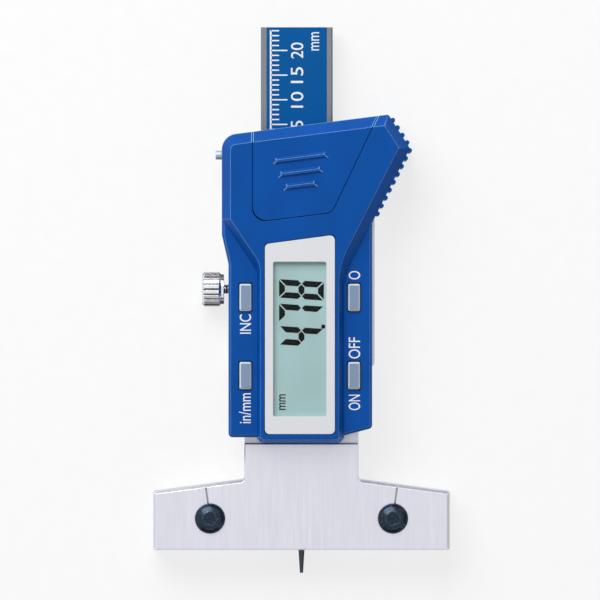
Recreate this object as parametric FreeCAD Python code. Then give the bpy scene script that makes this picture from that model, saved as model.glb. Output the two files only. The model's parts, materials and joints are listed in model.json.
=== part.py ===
import FreeCAD, Part
import math
import os

# Digital depth gauge with a needle probe, lying on its back.
#
# A T-shaped stainless slider frame carries a flat beam that slides through it. The needle probe
# on the beam's lower end comes out of the T base's measuring face. A moulded housing on the
# frame's front holds the display, the four buttons, the circuit board and the cell.
#
# Millimetres. X runs along the measuring face, Y up the beam, Z from the back to the display.
# The origin is where the probe's centre plane meets the measuring face and the back face.

V = FreeCAD.Vector

# ---------------------------------------------------------------- running fits and seams
slide_clearance = 0.05      # beam and gib in their channel
seat_clearance = 0.05       # loose pieces in their pockets
thread_clearance = 0.02     # screws in their threaded holes
turning_clearance = 0.06    # lock screw and pad in the frame
panel_seam = 0.10           # panels and buttons in the housing
cover_seam = 0.12           # battery cover in the housing
button_seam = 0.2           # buttons in the housing
hidden_sides = 16           # flats round a hidden screw or its hole
corner_steps = 4            # flats round a small moulded or milled corner

# ---------------------------------------------------------------- beam and probe
measuring_range = 25.0      # full travel of the probe
reading = 4.78              # how far the probe stands out at rest
beam_width = 14.56
beam_thickness = 3.5
beam_centre = -0.95         # the beam runs a little left of the probe
beam_top = 105.9            # top end of the beam at rest
beam_edge_chamfer = 0.3
probe_reach = 27.0          # probe below the beam's lower end
probe_tip_radius = 0.33
probe_body_radius = 0.8
probe_taper = 0.0638        # growth of the radius for each millimetre from the tip
probe_shank_radius = 1.0
probe_shank_length = 8.0
label_width = 12.07
label_thickness = 0.2
scale_strip_thickness = 0.5
scale_strip_start = 1.8     # above the end of the probe's shank

# ---------------------------------------------------------------- travel stop
stop_radius = 1.0
stop_height_on_frame = 45.0
stop_groove_depth = 1.0
stop_tip_gap = 0.1

# ---------------------------------------------------------------- slider frame and T base
back_plate_thickness = 1.5
web_thickness = 1.0         # frame's front wall over the beam
base_width = 60.0
base_end_height = 11.85
base_shoulder_height = 14.3
stem_width = 23.1
inner_fillet = 0.7
body_left = -14.74          # frame's upper body
body_right = 14.8
body_bottom = 36.9
body_top = 82.0
body_corner = 1.2
back_chamfer = 0.4
pickup_width = 11.0         # window in the web for the board's pickup
pickup_bottom = 38.0
pickup_top = 66.0

front_plate_thickness = 2.0
front_plate_top = 21.6
front_plate_bevel = 0.6     # ends and shoulders
stem_plate_bevel = 0.2      # stem's sides and top edge
measuring_edge_bevel = 0.25
base_screw_x = 18.5
base_screw_y = 6.4
base_screw_radius = 1.5
base_screw_grip = 4.0       # thread in the frame
base_screw_hole = 1.6
base_head_radius = 3.07
base_head_height = 1.7
base_head_rim = 0.3         # straight rim under the dome
base_dome_steps = (1.0, 0.86, 0.66, 0.42)
base_socket_width = 2.2
base_socket_depth = 1.05
wire_slit = 0.34            # wire-eroding slit from the plate's bevel to the hole

# ---------------------------------------------------------------- gib and its set screws
gib_thickness = 1.0
gib_bottom = 28.0
gib_set_radius = 0.9
gib_set_upper = 80.0
gib_set_lower = 31.0
gib_set_stand_out = 17.41   # outer end of the upper set screw
screw_axis_height = 3.6     # set screws and lock screw, above the back face

# ---------------------------------------------------------------- lock screw
lock_y = 52.8
lock_pitch = 0.4
lock_thread_radius = 1.0
lock_neck_radius = 0.8      # root of the thread that shows
lock_neck_inside = 0.8      # length of that root inside the frame at rest
lock_knob_radius = 3.45
lock_knob_length = 3.82
lock_knob_ridges = 20
lock_ridge_depth = 0.34
lock_ridge_side = 0.17      # part of a ridge's pitch taken by each sloped side
lock_knob_chamfer = 0.45
lock_shoulder_radius = 3.0
lock_shoulder_length = 0.55
lock_thread_shown = 1.01    # thread between the frame and the shoulder at rest
lock_pad_radius = 1.15
lock_pad_length = 1.0
lock_pad_gap = 0.25         # pad to gib with the screw slackened
lock_pad_bore_spare = 0.6   # bore beyond the pad, for unscrewing
lock_screw_gap = 0.02

# ---------------------------------------------------------------- small screws
plate_screw_radius = 0.7
plate_screw_head = 1.2
plate_screw_length = 3.6
plate_screw_rows = (8.0, 66.0)
housing_screw_radius = 1.0
housing_screw_head = 1.45
housing_screw_length = 10.4
housing_screw_x = 13.05
housing_screw_rows = (43.3, 72.0)
countersink_depth = 0.9
slot_width = 0.4
slot_depth = 0.4

# ---------------------------------------------------------------- housing
wall = 1.4
wing_height = 12.3          # top of the button wings
wing_bevel = 0.5
ridge_height = 14.5         # top of the raised display ridge and head
ridge_rise = 2.3            # height of the bevel round the ridge and head
wing_left = -14.74
wing_right = 14.26
wing_bottom = 22.9
wing_bottom_rise = 1.85     # the right wing's lower edge climbs outwards
wing_corner = 0.8
hip_bottom = 57.9           # the left side widens from the wing to the head
hip_top = 63.75
ridge_left = -9.0
ridge_right = 8.6
ridge_bottom = 21.7
ridge_corner_cut = 1.0
ridge_left_bend = 56.3
ridge_left_shoulder = 66.9
ridge_left_bend_radius = 3.5
ridge_right_bend_radius = 14.0
head_left = -16.08
head_top_left = 83.77
head_top_slope = 7.2
head_corner_radius = 3.2
nose_x = 21.9
nose_y = 81.2
nose_radius = 0.9
nose_lower_lean = 27.0      # lower thumb-rest flank, from the vertical
nose_upper_lean = 32.6
crown_radius = 0.4
bevel_bottom = 0.8
bevel_ridge_left = 0.75
bevel_ridge_right = 1.12
bevel_flank = 2.14
bevel_upper_flank = 1.95
bevel_top = 2.2
bevel_left = 1.82
bevel_left_shoulder = 1.5
flare_back = 1.0            # the thumb rest reaches back beside the frame
flare_gap = 0.2
rib_radius = 0.5
rib_sides = 10
rib_stand_out = 0.12
rib_pitch = 1.79
rib_lower_first = 0.4
rib_lower_count = 9
rib_upper_first = 1.3
rib_upper_count = 4
boss_radius = 1.9

# ---------------------------------------------------------------- battery bay and cover
cover_left = -9.81
cover_bottom_left = 66.25
cover_bottom_slope = 7.05
cover_right_x = 6.09
cover_right_lean = 25.5     # the cover's right side, from the vertical
cover_corner_left = 2.8
cover_corner_right = 2.2
cover_sill = 8.0            # the cover's end wall stops above this height
cover_lip_reach = 0.8
cover_lip_thickness = 0.4
cover_lip_half_width = 3.2
ledge_width = 0.9
ledge_thickness = 0.65
ledge_bottom = 70.0
ledge_top = 80.0
post_bottom = 81.45         # posts under the seam's upper ends
post_height = 11.3
hook_rows = (70.5, 77.5)
hook_length = 2.5
hook_thickness = 0.75
hook_gap = 0.15
grip_ridge_centre = -0.2
grip_ridge_rows = (79.2, 76.35, 73.65)
grip_ridge_lengths = (10.0, 7.9, 5.7)
grip_ridge_width = 1.25
grip_ridge_height = 0.45
grip_ridge_crest = 0.3
cell_x = -0.9
cell_y = 75.2
cell_radius = 5.8
cell_height = 5.4
cell_cap_radius = 4.9
cell_step = 0.7
cell_lift = 0.2             # negative contact below the cell
holder_wall = 1.0
holder_height = 4.2
holder_mouth = 4.0
contact_thickness = 0.15
contact_width = 3.0

# ---------------------------------------------------------------- display
panel_left = -7.36
panel_right = 6.71
panel_bottom = 23.6
panel_top_left = 61.85
panel_top_slope = 7.6
panel_corner = 0.9
panel_thickness = 0.9
panel_ledge = 1.0
view_left = -5.66
view_right = 4.95
view_bottom = 27.2
view_top = 58.25
view_corner = 0.4
window_recess = 0.1
glass_margin = 0.55
glass_length_margin = 1.2
glass_thickness = 1.8
connector_width = 1.4
connector_end_gap = 2.0

# ---------------------------------------------------------------- circuit board
board_thickness = 0.8
board_left = -13.0
board_right = 12.6
board_bottom = 25.6
board_top = 81.3
board_corner = 0.8
dome_half_width = 1.6
dome_corner_cut = 0.9
dome_height = 0.3
chip_x = -0.4
chip_y = 44.0
chip_width = 7.0
chip_height = 1.3

# ---------------------------------------------------------------- buttons
button_left_x = -11.3
button_right_x = 10.6
button_upper_y = 51.1
button_lower_y = 35.35
button_width = 2.4
button_length = 5.5
button_corner = 0.35
button_stand_out = 0.6
button_rim = 0.3
button_flange = 0.5
button_stem = 0.9           # half the stem's width
button_flange_thickness = 0.7
button_travel = 0.4
button_spare = 0.05

# ---------------------------------------------------------------- levels and places that follow
beam_back = back_plate_thickness + slide_clearance
beam_front = beam_back + beam_thickness
channel_front = beam_front + slide_clearance
frame_front = channel_front + web_thickness
plate_front = frame_front + front_plate_thickness
beam_left = beam_centre - beam_width / 2
beam_right = beam_centre + beam_width / 2
channel_left = beam_left - slide_clearance
channel_right = beam_right + slide_clearance
beam_bottom = probe_reach - reading
probe_height = (beam_back + beam_front) / 2
gib_inner = beam_left - slide_clearance
gib_outer = gib_inner - gib_thickness
gib_wall = gib_outer - slide_clearance
stem_left = -stem_width / 2
stem_right = stem_width / 2
board_front = frame_front + board_thickness
wing_inside = wing_height - wall
ridge_inside = ridge_height - wall
ridge_foot = ridge_height - ridge_rise
panel_back = ridge_height - panel_thickness
glass_front = panel_back - seat_clearance
glass_back = glass_front - glass_thickness
cell_back = board_front + cell_lift


# ---------------------------------------------------------------- drawing helpers
def rounded_wire(points, level, steps=0):
    """A closed flat outline through (x, y, corner radius) points that run anticlockwise.

    With steps, each corner is that many flats in place of an arc.
    """
    starts = []
    ends = []
    middles = []
    centres = []
    count = len(points)
    for i in range(count):
        x, y, radius = points[i]
        corner = V(x, y, level)
        before = V(points[i - 1][0], points[i - 1][1], level)
        after = V(points[(i + 1) % count][0], points[(i + 1) % count][1], level)
        back = (before - corner).normalize()
        ahead = (after - corner).normalize()
        half_turn = (math.pi - back.getAngle(ahead)) / 2
        reach = radius * math.tan(half_turn)
        starts.append(corner + back * reach)
        ends.append(corner + ahead * reach)
        inwards = (back + ahead).normalize()
        middles.append(corner + inwards * (radius / math.cos(half_turn) - radius))
        centres.append(corner + inwards * (radius / math.cos(half_turn)))
    edges = []
    for i in range(count):
        if points[i][2] > 0 and steps:
            edges += flats(centres[i], starts[i], ends[i], steps)
        elif points[i][2] > 0:
            edges.append(Part.Arc(starts[i], middles[i], ends[i]).toShape())
        following = starts[(i + 1) % count]
        edges.append(Part.LineSegment(ends[i], following).toShape())
    return Part.Wire(edges)


def flats(centre, start, end, steps):
    """Straight edges round an arc, from its start to its end."""
    first = start - centre
    last = end - centre
    whole = first.getAngle(last)
    places = []
    for k in range(steps + 1):
        near = math.sin(whole * (1 - k / steps)) / math.sin(whole)
        far = math.sin(whole * k / steps) / math.sin(whole)
        places.append(centre + first * near + last * far)
    return [Part.LineSegment(places[k], places[k + 1]).toShape() for k in range(steps)]


def inset(points, widths):
    """Each side of an outline moved inwards; side i runs from point i to the next one."""
    count = len(points)
    if not isinstance(widths, (list, tuple)):
        widths = [widths] * count
    sides = []
    for i in range(count):
        x0, y0, _ = points[i]
        x1, y1, _ = points[(i + 1) % count]
        length = math.hypot(x1 - x0, y1 - y0)
        along = ((x1 - x0) / length, (y1 - y0) / length)
        start = (x0 - along[1] * widths[i], y0 + along[0] * widths[i])
        sides.append((start, along))
    moved = []
    for i in range(count):
        (px, py), (dx, dy) = sides[i - 1]
        (qx, qy), (ex, ey) = sides[i]
        turn = dx * ey - dy * ex
        reach = ((qx - px) * ey - (qy - py) * ex) / turn
        radius = points[i][2]
        if radius > 0:
            width = (widths[i - 1] + widths[i]) / 2
            radius = max(radius - math.copysign(width, turn), 0.05)
        moved.append((px + dx * reach, py + dy * reach, radius))
    return moved


def rectangle(left, bottom, right, top, corner=0.0):
    """Outline points of an upright rectangle."""
    return [(left, bottom, corner), (right, bottom, corner), (right, top, corner), (left, top, corner)]


def slab(points, low, high, steps=0):
    """An outline raised from one level to another."""
    return Part.Face(rounded_wire(points, low, steps)).extrude(V(0, 0, high - low))


def tapered(points, low, top_points, high, steps=0):
    """A solid between two outlines with matching corners."""
    wires = [rounded_wire(points, low, steps), rounded_wire(top_points, high, steps)]
    return Part.makeLoft(wires, True, True)


def many_sided(x, y, radius, sides):
    """Outline points of a regular polygon."""
    turns = [2 * math.pi * (k + 0.5) / sides for k in range(sides)]
    return [(x + radius * math.cos(turn), y + radius * math.sin(turn), 0.0) for turn in turns]


def bar_z(x, y, radius, low, high, sides=hidden_sides):
    """A many-sided bar along Z, for what is hidden or very small."""
    return slab(many_sided(x, y, radius, sides), low, high)


def block(left, bottom, back, right, top, front):
    """A plain box from its lowest to its highest corner."""
    return Part.makeBox(right - left, top - bottom, front - back, V(left, bottom, back))


def turned(profile, centre, axis):
    """A solid of revolution. The profile is (radius, distance along the axis) points."""
    across = V(0, 0, 1) if abs(axis.z) < 0.5 else V(1, 0, 0)
    points = [centre + across * radius + axis * along for radius, along in profile]
    face = Part.Face(Part.makePolygon(points + [points[0]]))
    return face.revolve(centre, axis, 360)


def rod_z(x, y, radius, low, high):
    """A round bar along Z."""
    return Part.makeCylinder(radius, high - low, V(x, y, low), V(0, 0, 1))


def rod_x(y, height, radius, left, right):
    """A round bar along X."""
    return Part.makeCylinder(radius, right - left, V(left, y, height), V(1, 0, 0))


def tangent(degrees):
    return math.tan(math.radians(degrees))


# ---------------------------------------------------------------- slider frame and back
def t_outline(top):
    """The T base: ends, sloped shoulders and the stem up to a given height."""
    half = base_width / 2
    return [
        (-half, 0.0, 0.0),
        (half, 0.0, 0.0),
        (half, base_end_height, 0.0),
        (stem_right, base_shoulder_height, inner_fillet),
        (stem_right, top, 0.0),
        (stem_left, top, 0.0),
        (stem_left, base_shoulder_height, inner_fillet),
        (-half, base_end_height, 0.0),
    ]


def frame_outline():
    """The T base and stem with the wider upper body."""
    half = base_width / 2
    return [
        (-half, 0.0, 0.0),
        (half, 0.0, 0.0),
        (half, base_end_height, 0.0),
        (stem_right, base_shoulder_height, inner_fillet),
        (stem_right, body_bottom, 0.0),
        (body_right, body_bottom, body_corner),
        (body_right, body_top, body_corner),
        (body_left, body_top, body_corner),
        (body_left, body_bottom, body_corner),
        (stem_left, body_bottom, 0.0),
        (stem_left, base_shoulder_height, inner_fillet),
        (-half, base_end_height, 0.0),
    ]


def plate_screw_places():
    """The back plate's screws stand in the middle of each rail, left and right."""
    left_rail = (stem_left + gib_wall) / 2
    right_rail = (stem_right + channel_right) / 2
    return [(x, y) for x in (left_rail, right_rail) for y in plate_screw_rows]


def housing_screw_places():
    return [(x, y) for x in (-housing_screw_x, housing_screw_x) for y in housing_screw_rows]


def countersunk(x, y, radius, head_radius, length):
    """A flat-head screw from the back face, without its slot."""
    wide = many_sided(x, y, head_radius, hidden_sides)
    narrow = many_sided(x, y, radius, hidden_sides)
    head = tapered(wide, 0, narrow, countersink_depth)
    return head.fuse(bar_z(x, y, radius, countersink_depth, length))


def slotted(screw, x, y, reach):
    """A screw with a driver slot across its head at the back face."""
    return screw.cut(block(x - reach, y - slot_width / 2, 0, x + reach, y + slot_width / 2, slot_depth))


def base_screw_places():
    return [(-base_screw_x, base_screw_y), (base_screw_x, base_screw_y)]


def slider_frame():
    outline = frame_outline()
    frame = slab(outline, back_chamfer, frame_front, corner_steps)
    frame = frame.fuse(tapered(inset(outline, back_chamfer), 0, outline, back_chamfer, corner_steps))
    beyond = 1.0
    cuts = [
        block(channel_left, -beyond, back_plate_thickness, channel_right, body_top + beyond, channel_front),
        block(stem_left - seat_clearance, -beyond, -beyond,
              stem_right + seat_clearance, body_top + beyond, back_plate_thickness),
        block(gib_wall, gib_bottom - seat_clearance, back_plate_thickness,
              channel_left + beyond, body_top + beyond, channel_front),
        slab(rectangle(beam_centre - pickup_width / 2, pickup_bottom,
                       beam_centre + pickup_width / 2, pickup_top, body_corner),
             channel_front - beyond, frame_front + beyond, corner_steps),
        rod_x(lock_y, screw_axis_height, lock_thread_radius + turning_clearance, body_left - beyond, gib_wall),
        rod_x(lock_y, screw_axis_height, lock_pad_radius + turning_clearance,
              gib_outer - lock_pad_gap - lock_pad_length - lock_pad_bore_spare, gib_wall + beyond),
        rod_x(gib_set_upper, screw_axis_height, gib_set_radius + thread_clearance,
              body_left - beyond, gib_wall + beyond / 2),
        rod_x(gib_set_lower, screw_axis_height, gib_set_radius + thread_clearance,
              stem_left - beyond, gib_wall + beyond / 2),
    ]
    for x, y in base_screw_places():
        bottom = frame_front - base_screw_grip - seat_clearance
        cuts.append(bar_z(x, y, base_screw_radius + thread_clearance, bottom, frame_front + beyond))
    for x, y in plate_screw_places():
        cuts.append(bar_z(x, y, plate_screw_radius + thread_clearance, 0, plate_screw_length + seat_clearance))
    for x, y in housing_screw_places():
        cuts.append(countersunk(x, y, housing_screw_radius + thread_clearance,
                                housing_screw_head + thread_clearance, frame_front + beyond))
    return frame.cut(cuts)


def back_plate():
    plate = block(stem_left, 0, 0, stem_right, body_top, back_plate_thickness)
    cuts = [rod_z(beam_centre, stop_height_on_frame, stop_radius + thread_clearance, 0, back_plate_thickness)]
    for x, y in plate_screw_places():
        cuts.append(countersunk(x, y, plate_screw_radius + thread_clearance,
                                plate_screw_head + thread_clearance, back_plate_thickness))
    return plate.cut(cuts)


def back_plate_screws():
    screws = []
    for x, y in plate_screw_places():
        screw = countersunk(x, y, plate_screw_radius, plate_screw_head, plate_screw_length)
        screws.append(slotted(screw, x, y, plate_screw_head))
    return Part.makeCompound(screws)


def stop_screw():
    """A grub screw in the back plate; its tip runs in the beam's groove."""
    tip = beam_back + stop_groove_depth - stop_tip_gap
    screw = rod_z(beam_centre, stop_height_on_frame, stop_radius, 0, tip)
    return slotted(screw, beam_centre, stop_height_on_frame, stop_radius)


# ---------------------------------------------------------------- T base front plate
def base_front_plate():
    outline = t_outline(front_plate_top)
    bevels = [measuring_edge_bevel, front_plate_bevel, front_plate_bevel]
    bevels += [stem_plate_bevel] * 3 + [front_plate_bevel] * 2
    shoulder = plate_front - front_plate_bevel
    plate = slab(outline, frame_front, shoulder, corner_steps)
    plate = plate.fuse(tapered(outline, shoulder, inset(outline, bevels), plate_front, corner_steps))
    slope = math.atan2(base_shoulder_height - base_end_height, base_width / 2 - stem_right)
    shoulder_line = base_end_height + (base_width / 2 - base_screw_x) * math.tan(slope)
    slit_length = (shoulder_line - front_plate_bevel - base_screw_y) * math.cos(slope)
    cuts = []
    for x, y in base_screw_places():
        cuts.append(bar_z(x, y, base_screw_hole, frame_front, plate_front))
        slit = block(-wire_slit / 2, 0, frame_front, wire_slit / 2, slit_length, plate_front)
        turn = math.degrees(math.copysign(slope, -x))
        slit.rotate(V(0, 0, 0), V(0, 0, 1), turn)
        slit.translate(V(x, y, 0))
        cuts.append(slit)
    return plate.cut(cuts)


def base_screw(x, y):
    """A button-head socket screw, seated on the front plate."""
    top = plate_front + base_head_height
    dome = base_head_height - base_head_rim
    ball = (base_head_radius ** 2 + dome ** 2) / (2 * dome)
    profile = [(0, 0), (base_head_radius, 0)]
    for part in base_dome_steps:
        radius = base_head_radius * part
        profile.append((radius, base_head_height - ball + math.sqrt(ball ** 2 - radius ** 2)))
    profile.append((0, base_head_height))
    head = turned(profile, V(x, y, plate_front), V(0, 0, 1))
    shank = bar_z(x, y, base_screw_radius, frame_front - base_screw_grip, plate_front)
    socket = slab(many_sided(x, y, base_socket_width / 2 / math.cos(math.pi / 6), 6), top - base_socket_depth, top)
    return head.fuse(shank).cut(socket)


def base_screws():
    return Part.makeCompound([base_screw(x, y) for x, y in base_screw_places()])


# ---------------------------------------------------------------- gib and set screws
def gib_strip():
    return block(gib_outer, gib_bottom, beam_back, gib_inner, body_top - seat_clearance, beam_front)


def gib_set_screws():
    upper = rod_x(gib_set_upper, screw_axis_height, gib_set_radius, -gib_set_stand_out, gib_outer)
    lower = rod_x(gib_set_lower, screw_axis_height, gib_set_radius, stem_left, gib_outer)
    slots = []
    for x, y in ((-gib_set_stand_out, gib_set_upper), (stem_left, gib_set_lower)):
        slots.append(block(x, y - gib_set_radius, screw_axis_height - slot_width / 2,
                           x + slot_depth, y + gib_set_radius, screw_axis_height + slot_width / 2))
    return Part.makeCompound([upper.cut(slots[0]), lower.cut(slots[1])])


# ---------------------------------------------------------------- beam
def label_sides():
    return beam_centre - label_width / 2, beam_centre + label_width / 2


def scale_bottom():
    return beam_bottom + probe_shank_length + scale_strip_start


def beam():
    bar = block(beam_left, beam_bottom, beam_back, beam_right, beam_top, beam_front)
    long_edges = [edge for edge in bar.Edges if edge.BoundBox.YLength > beam_width]
    bar = bar.makeChamfer(beam_edge_chamfer, long_edges)
    left, right = label_sides()
    pocket = block(left - seat_clearance, scale_bottom() - seat_clearance,
                   beam_front - label_thickness - scale_strip_thickness,
                   right + seat_clearance, beam_top, beam_front)
    clear = stop_radius + slide_clearance
    groove_bottom = stop_height_on_frame - reading - clear
    groove_top = stop_height_on_frame + measuring_range - reading + clear
    groove = slab(rectangle(beam_centre - clear, groove_bottom, beam_centre + clear, groove_top, clear * 0.999),
                  beam_back, beam_back + stop_groove_depth)
    bore = Part.makeCylinder(probe_shank_radius + thread_clearance, probe_shank_length + seat_clearance,
                             V(0, beam_bottom, probe_height), V(0, 1, 0))
    return bar.cut([pocket, groove, bore])


def scale_strip():
    left, right = label_sides()
    back = beam_front - label_thickness - scale_strip_thickness
    return block(left, scale_bottom(), back, right, beam_top, back + scale_strip_thickness)


def scale_label():
    left, right = label_sides()
    return block(left, scale_bottom(), beam_front - label_thickness, right, beam_top, beam_front)


def probe_needle():
    tip = -reading
    taper_end = tip + (probe_body_radius - probe_tip_radius) / probe_taper
    profile = [
        (0, tip),
        (probe_tip_radius, tip),
        (probe_body_radius, taper_end),
        (probe_body_radius, beam_bottom),
        (probe_shank_radius, beam_bottom),
        (probe_shank_radius, beam_bottom + probe_shank_length),
        (0, beam_bottom + probe_shank_length),
    ]
    return turned(profile, V(0, 0, probe_height), V(0, 1, 0))


# ---------------------------------------------------------------- lock screw
def ridged_wire(left):
    """The knob's section: a ring of straight ridges with flat crests and sloped sides."""
    valley = lock_knob_radius - lock_ridge_depth
    step = 2 * math.pi / lock_knob_ridges
    places = []
    for k in range(lock_knob_ridges):
        for radius, part in ((valley, 0.0), (lock_knob_radius, lock_ridge_side), (lock_knob_radius, 1 - lock_ridge_side)):
            angle = (k + part) * step
            places.append(V(left, lock_y + radius * math.cos(angle), screw_axis_height + radius * math.sin(angle)))
    return Part.makePolygon(places + [places[0]])


def lock_screw():
    thread_end = gib_outer - lock_pad_gap - lock_pad_length - lock_screw_gap
    shoulder_right = body_left - lock_thread_shown
    shoulder_left = shoulder_right - lock_shoulder_length
    knob_left = shoulder_left - lock_knob_length
    knob = Part.Face(ridged_wire(knob_left)).extrude(V(lock_knob_length, 0, 0))
    chamfered = [
        (0, 0),
        (lock_knob_radius - lock_knob_chamfer, 0),
        (lock_knob_radius, lock_knob_chamfer),
        (lock_knob_radius, lock_knob_length - lock_knob_chamfer),
        (lock_knob_radius - lock_knob_chamfer, lock_knob_length),
        (0, lock_knob_length),
    ]
    knob = knob.common(turned(chamfered, V(knob_left, lock_y, screw_axis_height), V(1, 0, 0)))
    shoulder = rod_x(lock_y, screw_axis_height, lock_shoulder_radius, shoulder_left, shoulder_right)
    neck_right = body_left + lock_neck_inside
    neck = rod_x(lock_y, screw_axis_height, lock_neck_radius, shoulder_left, neck_right)
    thread = rod_x(lock_y, screw_axis_height, lock_thread_radius, neck_right, thread_end)
    return knob.fuse([shoulder, neck, thread])


def lock_pad():
    """A soft plug between the lock screw and the gib."""
    right = gib_outer - lock_pad_gap
    return rod_x(lock_y, screw_axis_height, lock_pad_radius, right - lock_pad_length, right)


# ---------------------------------------------------------------- housing forms
def top_line(x):
    """Height of the head's sloped top edge."""
    return head_top_left + (x - head_left) * tangent(head_top_slope)


def crown():
    """Where the thumb rest's upper flank meets the top edge."""
    lean = math.radians(nose_upper_lean)
    climb = (top_line(nose_x) - nose_y) / (math.cos(lean) + math.sin(lean) * tangent(head_top_slope))
    return nose_x - climb * math.sin(lean), nose_y + climb * math.cos(lean)


def flank_line(x):
    """Height of the thumb rest's lower flank."""
    return nose_y - (nose_x - x) / tangent(nose_lower_lean)


def wing_outline():
    """The lower body with the button wings; its upper end lies inside the head."""
    inside_head = hip_top + wall * 4
    return [
        (wing_left, wing_bottom, wing_corner),
        (ridge_right - wall, wing_bottom, 0.0),
        (wing_right, wing_bottom + wing_bottom_rise, wing_corner),
        (wing_right, inside_head, 0.0),
        (head_left, inside_head, 0.0),
        (head_left, hip_top, 0.0),
        (wing_left, hip_bottom, 0.0),
    ]


def head_points():
    """The head with its thumb rest, from the ridge's right side round to its left side."""
    crown_x, crown_y = crown()
    return [
        (ridge_right, flank_line(ridge_right), ridge_right_bend_radius),
        (nose_x, nose_y, nose_radius),
        (crown_x, crown_y, crown_radius),
        (head_left, head_top_left, head_corner_radius),
        (head_left, ridge_left_shoulder, 0.0),
        (ridge_left, ridge_left_bend, ridge_left_bend_radius),
    ]


def ridge_outline():
    """The raised display ridge and the head, at the foot of their bevels."""
    foot = [
        (ridge_left, ridge_bottom + ridge_corner_cut, 0.0),
        (ridge_left + ridge_corner_cut, ridge_bottom, 0.0),
        (ridge_right - ridge_corner_cut, ridge_bottom, 0.0),
        (ridge_right, ridge_bottom + ridge_corner_cut, 0.0),
    ]
    return foot + head_points()


def ridge_square_outline():
    """The same outline with square lower corners, for the hollow inside."""
    return [(ridge_left, ridge_bottom, 0.0), (ridge_right, ridge_bottom, 0.0)] + head_points()


def head_bevels():
    """Width of the bevel along each side from the ridge's right side onwards."""
    return [
        bevel_ridge_right,
        bevel_flank,
        bevel_upper_flank,
        bevel_top,
        bevel_left,
        bevel_left_shoulder,
        bevel_ridge_left,
    ]


def flare_outline():
    """The part of the thumb rest that reaches back beside the frame."""
    crown_x, crown_y = crown()
    left = body_right + flare_gap
    return [
        (left, flank_line(left), 0.0),
        (nose_x, nose_y, nose_radius),
        (crown_x, crown_y, crown_radius),
        (left, top_line(left), 0.0),
    ]


def thumb_ribs():
    """Rounded ribs across both flanks of the thumb rest."""
    ribs = []
    lower = math.radians(nose_lower_lean)
    upper = math.radians(nose_upper_lean)
    for k in range(rib_lower_count):
        along = rib_lower_first + k * rib_pitch
        x = nose_x - along * math.sin(lower) + rib_stand_out * math.cos(lower)
        y = nose_y - along * math.cos(lower) - rib_stand_out * math.sin(lower)
        ribs.append(bar_z(x, y, rib_radius, flare_back, ridge_foot, rib_sides))
    for k in range(rib_upper_count):
        along = rib_upper_first + k * rib_pitch
        x = nose_x - along * math.sin(upper) + rib_stand_out * math.cos(upper)
        y = nose_y + along * math.cos(upper) + rib_stand_out * math.sin(upper)
        ribs.append(bar_z(x, y, rib_radius, flare_back, ridge_foot, rib_sides))
    return ribs


def housing_outside():
    """The housing's outer form as a full block."""
    wings = wing_outline()
    ridge = ridge_outline()
    body = slab(wings, frame_front, wing_height - wing_bevel, corner_steps)
    bevels = [bevel_bottom] * 3 + head_bevels()
    body = body.fuse([
        tapered(wings, wing_height - wing_bevel, inset(wings, wing_bevel), wing_height, corner_steps),
        slab(ridge, frame_front, ridge_foot),
        tapered(ridge, ridge_foot, inset(ridge, bevels), ridge_height),
        slab(flare_outline(), flare_back, frame_front),
    ])
    return body


def housing_hollow():
    """The space inside the housing, open at the back."""
    below = 1.0
    outline = ridge_square_outline()
    ridge = inset(outline, wall)
    shoulder = ridge_foot - wall / 2
    deep = [width + wall * 0.6 for width in [bevel_bottom] + head_bevels()]
    hollow = slab(inset(wing_outline(), wall), frame_front - below, wing_inside, corner_steps)
    hollow = hollow.fuse([
        slab(ridge, frame_front - below, shoulder),
        tapered(ridge, shoulder, inset(outline, deep), ridge_inside),
        slab(inset(flare_outline(), wall), flare_back - below, frame_front),
    ])
    return hollow


def cover_outline(grow):
    """The battery cover's seam; it runs out past the housing's top edge."""
    right = cover_right_x
    bottom_right = cover_bottom_left + (right - cover_left) * tangent(cover_bottom_slope)
    beyond = crown()[1] + wall * 3
    points = [
        (cover_left, cover_bottom_left, cover_corner_left),
        (right, bottom_right, cover_corner_right),
        (right + (beyond - bottom_right) * tangent(cover_right_lean), beyond, 0.0),
        (cover_left, beyond, 0.0),
    ]
    return inset(points, -grow)


def panel_outline(grow=0.0):
    """The display panel, with its sloped top edge."""
    top_right = panel_top_left + (panel_right - panel_left) * tangent(panel_top_slope)
    points = [
        (panel_left, panel_bottom, panel_corner),
        (panel_right, panel_bottom, panel_corner),
        (panel_right, top_right, panel_corner),
        (panel_left, panel_top_left, panel_corner),
    ]
    return inset(points, -grow)


def button_places():
    return {
        "button_inc": (button_left_x, button_upper_y),
        "button_unit": (button_left_x, button_lower_y),
        "button_zero": (button_right_x, button_upper_y),
        "button_power": (button_right_x, button_lower_y),
    }


def button_outline(x, y, grow):
    return rectangle(x - button_width / 2 - grow, y - button_length / 2 - grow,
                     x + button_width / 2 + grow, y + button_length / 2 + grow, button_corner)


def cover_ledges():
    """Ledges along both sides of the battery bay that carry the cover."""
    high = ridge_inside - seat_clearance
    low = high - ledge_thickness
    outer = cover_outline(cover_seam + ledge_width)
    edge = cover_outline(cover_seam)
    inner = cover_outline(cover_seam - ledge_width)
    root_top = ridge_inside + wall / 2
    root = slab(outer, low, root_top, corner_steps).cut(slab(edge, low, root_top, corner_steps))
    shelf = slab(edge, low, high, corner_steps).cut(slab(inner, low, high, corner_steps))
    return root.fuse(shelf).common(block(head_left, ledge_bottom, low, nose_x, ledge_top, ridge_height))


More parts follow.
